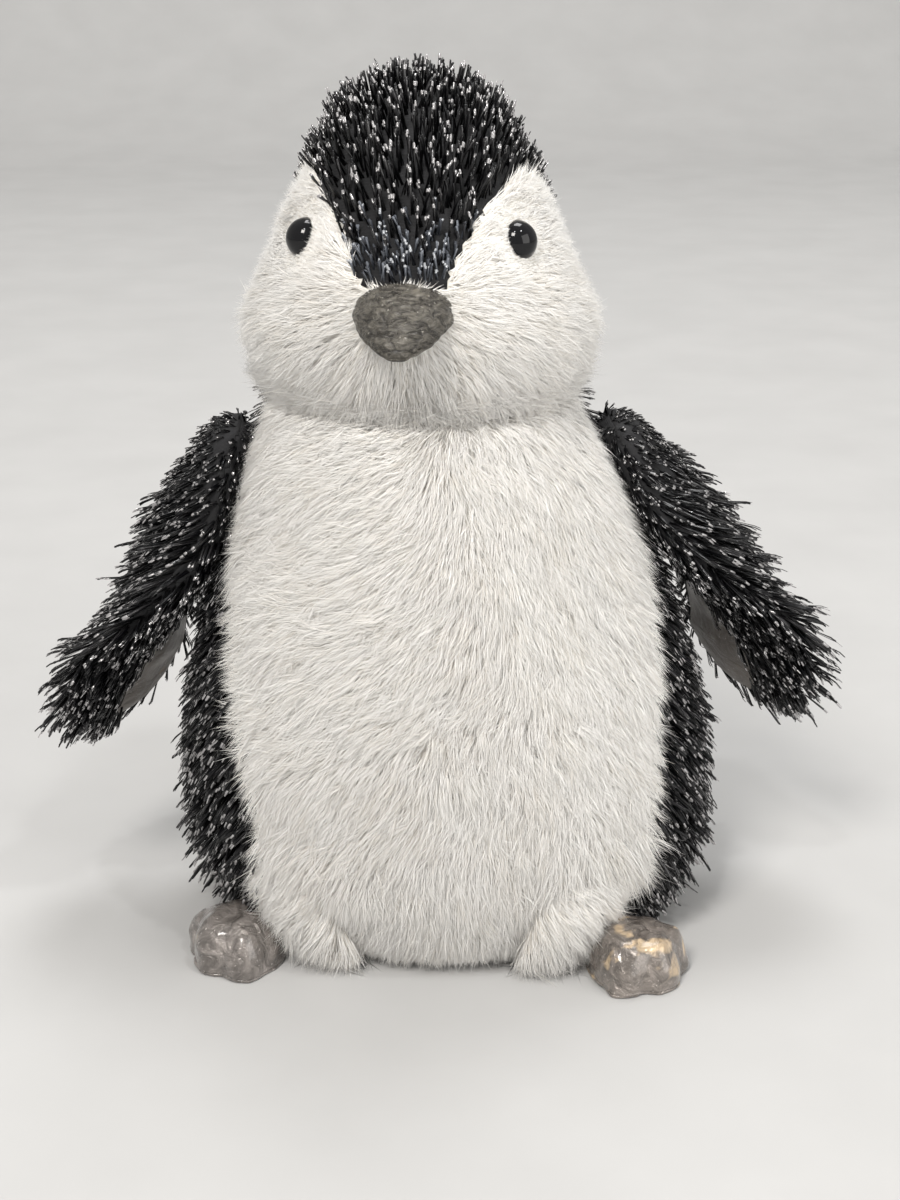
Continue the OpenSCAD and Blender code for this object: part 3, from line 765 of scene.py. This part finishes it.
def cap_flow(p, normals):
    """Up over the brow, a little to both sides, and down at the back of the head."""
    x, y = p[:, 0] - HEAD_AXIS[0], p[:, 1] - HEAD_AXIS[1]
    return columns(x * 0.02, 0.15, 1.1 * smooth(24, 4, y) - 1.0 * smooth(8, 28, y))


BRIDGE_TOP = BEAK[2] + 22


def cap_length(p):
    """Short above the beak, longer over the brow, and shorter again at the sides and the top."""
    side = smooth(15, 24, np.abs(p[:, 0] - HEAD_AXIS[0]))
    length = 7 + 2 * smooth(BRIDGE_TOP - 9, BRIDGE_TOP + 4, p[:, 2])
    return length - 3 * side - 1.5 * smooth(192, 202, p[:, 2])


def cap_stand(p):
    """Locks stand on the crown, and lie closer at the sides and above the beak."""
    stand = 0.32 + 0.28 * smooth(BRIDGE_TOP - 2, BRIDGE_TOP + 12, p[:, 2])
    return stand - 0.2 * smooth(10, 22, np.abs(p[:, 0] - HEAD_AXIS[0]))


def on_bridge(p, rng):
    """True on the short bridge between the cap and the beak, with a ragged edge."""
    front = p[:, 1] < HEAD_AXIS[1] - 20
    return front & (p[:, 2] < BRIDGE_TOP - 8 + 3.5 * rng.normal(size=len(p)))


def head():
    panels = ["cheek_left", "cheek_right", "crown_gusset", "head_back_left", "head_back_right"]
    form = form_of("head_form", [*panels, "head_stuffing"], 1.8)
    inflate(form, seam_points(form, panels, 1.6), 0.9)
    skins = regions(form, panels, ["head_stuffing"])
    for side, sign in SIDES.items():
        cheek, back = f"cheek_{side}", f"head_back_{side}"
        pile(f"cheek_pile_{side}", skins[cheek], cheek_flow, cheek_length, "head", 51 + sign, 0.6)
        fringe(f"head_back_fringe_{side}", skins[back],
               lambda p, n: columns(0, 0.35, -1),
               lambda p: 9.5 - 5 * smooth(NECK_Z + 16, NECK_Z + 6, p[:, 2]),
               lambda p: 0.1 + 0.25 * smooth(8, 24, p[:, 1]), "head", 61 + sign)
        finish_skin(skins[cheek], 1.0, WHITE_PLUSH, "head", cheek)
        finish_skin(skins[back], 1.0, BLACK_PLUSH, "head", back)
    crown = skins["crown_gusset"]
    fringe("crown_fringe", crown, cap_flow, cap_length, cap_stand, "head", 71, 1.75,
           inside=lambda p, rng: ~on_bridge(p, rng))
    # The bridge fringe's blue-grey tones are painted sheen.
    fringe("bridge_fringe", crown, cap_flow, constant(4.5), constant(0.14), "head", 72, 1.05,
           BRIDGE_TONES, on_bridge)
    finish_skin(crown, 1.0, BLACK_PLUSH, "head", "crown_gusset")


def beak():
    form = form_of("beak_form", ["beak_upper", "beak_lower", "beak_stuffing"], 0.7)
    inflate(form, seam_points(form, ["beak_upper", "beak_lower"], 0.9), 0.6)
    lumps(form, 6, 0.18, 8)
    lumps(form, 2.8, 0.16, 12)
    skins = regions(form, ["beak_upper", "beak_lower"], ["beak_stuffing"])
    for panel, skin in skins.items():
        finish_skin(skin, 0.6, (BEAK_CLOTH, "beak_fabric"), "head", panel, 1)


# ---------------------------------------------------------------- flippers and feet


def joint_place(name):
    """Where a joint of the frame is, in metres."""
    joint = next(j for j in frame["joints"] if j["name"] == name)
    return np.array(joint["pos_m"])


def flippers():
    """Flippers with fringe outside, and a lining that shows as a patch among shorter fringe."""
    for side, sign in SIDES.items():
        body = f"{side}_flipper"
        outer, lining, filling = (f"{body}_{part}" for part in ("outer", "lining", "stuffing"))
        hinge = joint_place(f"{side}_flipper_swing")
        co = points_of(frame["nodes"][outer].data)
        tip = co[np.linalg.norm(co - hinge, axis=1).argmax()]
        along = unit(tip - hinge)
        reach = np.linalg.norm(tip - hinge) / MM
        form = form_of(f"{side}_flipper_form", [outer, lining, filling], 1.4)
        inflate(form, seam_points(form, [outer, lining], 1.3), 1.0)
        lumps(form, 17, 0.5, 4)
        skins = regions(form, [outer, lining])
        front = unit(np.cross(along, (sign, 0, 0)) * sign)
        half = np.abs((co - hinge) @ front).max() / MM
        longest = 10 if side == "left" else 7.5

        def share(p):
            return (p * MM - hinge) @ along / MM / reach

        def across(p):
            return (p * MM - hinge) @ front / MM / half

        def flow(p, normals):
            low = smooth(0.3, 1.0, share(p))
            return columns(sign * (1 - 0.25 * low), 0, -0.45 - 0.35 * low) + 0.25 * along

        def edge_flow(p, normals):
            return 0.5 * flow(p, normals) + 0.5 * along + 1.2 * across(p)[:, None] * front

        def bare(p):
            """Below one on the patch of lining, towards the tip, that the fringe leaves bare."""
            return ((share(p) - 0.68) / 0.27) ** 2 + ((across(p) + 0.08) / 0.38) ** 2

        fringe(f"{body}_fringe", skins[outer], flow,
               lambda p: 3.5 + longest * smooth(-0.05, 0.35, share(p)),
               lambda p: 0.12 + 0.25 * smooth(-0.05, 0.2, share(p)), body, 81 + sign)
        fringe(f"{body}_edge_fringe", skins[lining], edge_flow,
               lambda p: 4 + 4 * smooth(0.0, 0.3, share(p)), constant(0.22), body, 85 + sign, 1.6,
               inside=lambda p, rng: bare(p) + 0.12 * rng.normal(size=len(p)) > 1)
        finish_skin(skins[outer], 0.8, BLACK_PLUSH, body, outer)
        finish_skin(skins[lining], 0.8, SMOOTH_LINING, body, lining, 1)
        mesh = skins[lining].data
        mesh.materials.append(BLACK_BACKING)
        centres = np.array([p.center for p in mesh.polygons]) / MM
        mesh.polygons.foreach_set("material_index", (bare(centres) > 1.1).astype(np.int32))


FOOT_FULLNESS = (1.05, 1.05, 1.08)
PIPING_RADIUS = 0.45


def piping(name, sole, made, body):
    """A thin cord in the seam round the edge of a sole."""
    co = points_of(frame["nodes"][sole].data)
    edge = co[co[:, 2] > co[:, 2].max() - 0.01 * MM]
    middle = edge.mean(axis=0)
    turn = np.arctan2(edge[:, 1] - middle[1], edge[:, 0] - middle[0])
    edge = edge[np.argsort(turn)]
    edge = edge[np.linalg.norm(edge - np.roll(edge, 1, axis=0), axis=1) > 0.2 * MM]
    data = bpy.data.curves.new(name, "CURVE")
    data.dimensions = "3D"
    data.bevel_depth = PIPING_RADIUS * MM
    line = data.splines.new("POLY")
    line.points.add(len(edge) - 1)
    line.use_cyclic_u = True
    for point, place in zip(line.points, edge):
        point.co = (*place, 1)
    data.materials.append(made)
    cord = add(name, data)
    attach(cord, body)


def feet():
    """Padded feet, a little fuller than their CAD shells, as their cloth stands proud."""
    for side, made in {"left": GOLD_SHEEN_CLOTH, "right": FOOT_CLOTH}.items():
        body = f"{side}_foot"
        upper, sole, filling = (f"{side}_foot_{part}" for part in ("upper", "sole", "stuffing"))
        form = form_of(f"{side}_foot_form", [upper, sole, filling], 0.6)
        inflate(form, seam_points(form, [upper, sole], 0.9), 0.5)
        co = points_of(form.data)
        middle = co.mean(axis=0) * (1, 1, 0)
        set_points(form.data, middle + (co - middle) * FOOT_FULLNESS)
        lumps(form, 9, 0.4, 9)
        lumps(form, 5, 0.22, 14)
        skins = regions(form, [upper, sole], [filling])
        for panel, skin in skins.items():
            finish_skin(skin, 0.6, (made, "foot_fabric"), body, panel, 1)
        piping(f"{side}_foot_piping", sole, made, body)


# ---------------------------------------------------------------- hidden CAD pieces and eyes


# Where the filling shows when the head nods: behind NECK_BACK, and between two heights
NECK_BACK = 6 * MM
NECK_LOW = 118 * MM
NECK_HIGH = 165 * MM


def dress_cad():
    """Materials of the CAD pieces that stay: the eyes, and what is inside the toy.

    The hem of the head opens at the back of the neck when the head nods forward. The filling in
    that gap is coloured like dark backing, which hides the gap's colour but doesn't close it.
    """
    looks = {"eye": EYE, "eye_washer": WASHER, "stuffing": STUFFING, "wad": STUFFING,
             "bag_upper": BAG_CLOTH, "bag_lower": BAG_CLOTH, "pellet_fill": PELLETS,
             "stitches": THREAD}
    for node, obj in frame["nodes"].items():
        for ending, made in looks.items():
            if node.endswith(ending):
                obj.data.materials.clear()
                obj.data.materials.append(made)
    for node in ("neck_wad", "head_stuffing", "body_stuffing"):
        obj = frame["nodes"][node]
        obj.data.materials.append(BLACK_BACKING)
        for face in obj.data.polygons:
            centre = obj.matrix_world @ face.center
            face.material_index = int(centre.y > NECK_BACK and NECK_LOW < centre.z < NECK_HIGH)


# ---------------------------------------------------------------- stage, light and camera


def stage():
    """A pale floor that curves up into a wall behind the toy."""
    floor = bpy.data.meshes.new("floor")
    half, rise, back, curve = 3.0, 2.5, 1.4, 0.6
    profile = [(-half, 0.0), (back, 0.0)]
    profile += [(back + curve * math.sin(a), curve * (1 - math.cos(a)))
                for a in np.linspace(0.1, math.pi / 2, 14)]
    profile.append((back + curve, rise))
    verts = [(x, y, z) for y, z in profile for x in (-half, half)]
    faces = [(2 * i, 2 * i + 1, 2 * i + 3, 2 * i + 2) for i in range(len(profile) - 1)]
    floor.from_pydata(verts, [], faces)
    floor.shade_smooth()
    made = material("studio_floor", (0.5, 0.5, 0.5), 0.9)
    grain = texture(made, "Noise", Scale=0.02, Detail=3.0)
    wire(made, Base_Color=ramp(made, grain.outputs["Fac"],
                               [(0.3, (0.47, 0.468, 0.463)), (0.7, (0.5, 0.498, 0.493))]))
    floor.materials.append(made)
    add("floor", floor)


def lamp(name, place, aim, size, power, tint=(1, 1, 1)):
    data = bpy.data.lights.new(name, "AREA")
    data.size = size
    data.energy = power
    data.color = tint
    obj = add(name, data)
    obj.location = place
    obj.rotation_euler = (Vector(aim) - Vector(place)).to_track_quat("-Z", "Y").to_euler()


def light():
    """A soft key, fill and top light, and two small lamps that draw sparks from the fringe."""
    middle = (0, 0, 0.1)
    lamp("key", (-0.7, -1.3, 1.7), middle, 0.6, 32, (1, 0.965, 0.92))
    lamp("fill", (1.6, -1.3, 0.8), middle, 1.6, 20, (1, 0.98, 0.95))
    lamp("top", (0.2, 0.7, 2.0), middle, 0.8, 18)
    lamp("spark_left", (-0.4, -1.0, 2.1), middle, 0.1, 6)
    lamp("spark_right", (0.7, -0.7, 2.0), middle, 0.1, 6)
    world = bpy.data.worlds.new("studio")
    world.use_nodes = True
    world.node_tree.nodes["Background"].inputs["Color"].default_value = (1.0, 0.985, 0.96, 1)
    world.node_tree.nodes["Background"].inputs["Strength"].default_value = 0.5
    bpy.context.scene.world = world
    bpy.context.scene.view_settings.view_transform = "Standard"


def camera():
    """In front of the toy and above it, a little to its right, looking down at its middle."""
    data = bpy.data.cameras.new("camera")
    data.sensor_width = 36
    data.lens = 58.5
    data.clip_start = 0.01
    obj = add("camera", data)
    far, turn, tilt = 0.48, math.radians(-3), math.radians(18)
    middle = Vector((-0.002, 0, 0.1))
    level = math.cos(tilt)
    away = Vector((math.sin(turn) * level, -math.cos(turn) * level, math.sin(tilt)))
    obj.location = middle + away * far
    aim = Vector((0, 0, 0.0814))
    obj.rotation_euler = (aim - obj.location).to_track_quat("-Z", "Y").to_euler()
    bpy.context.scene.camera = obj


camera()
stage()
light()
dress_cad()
torso()
legs()
tail()
head()
beak()
flippers()
feet()
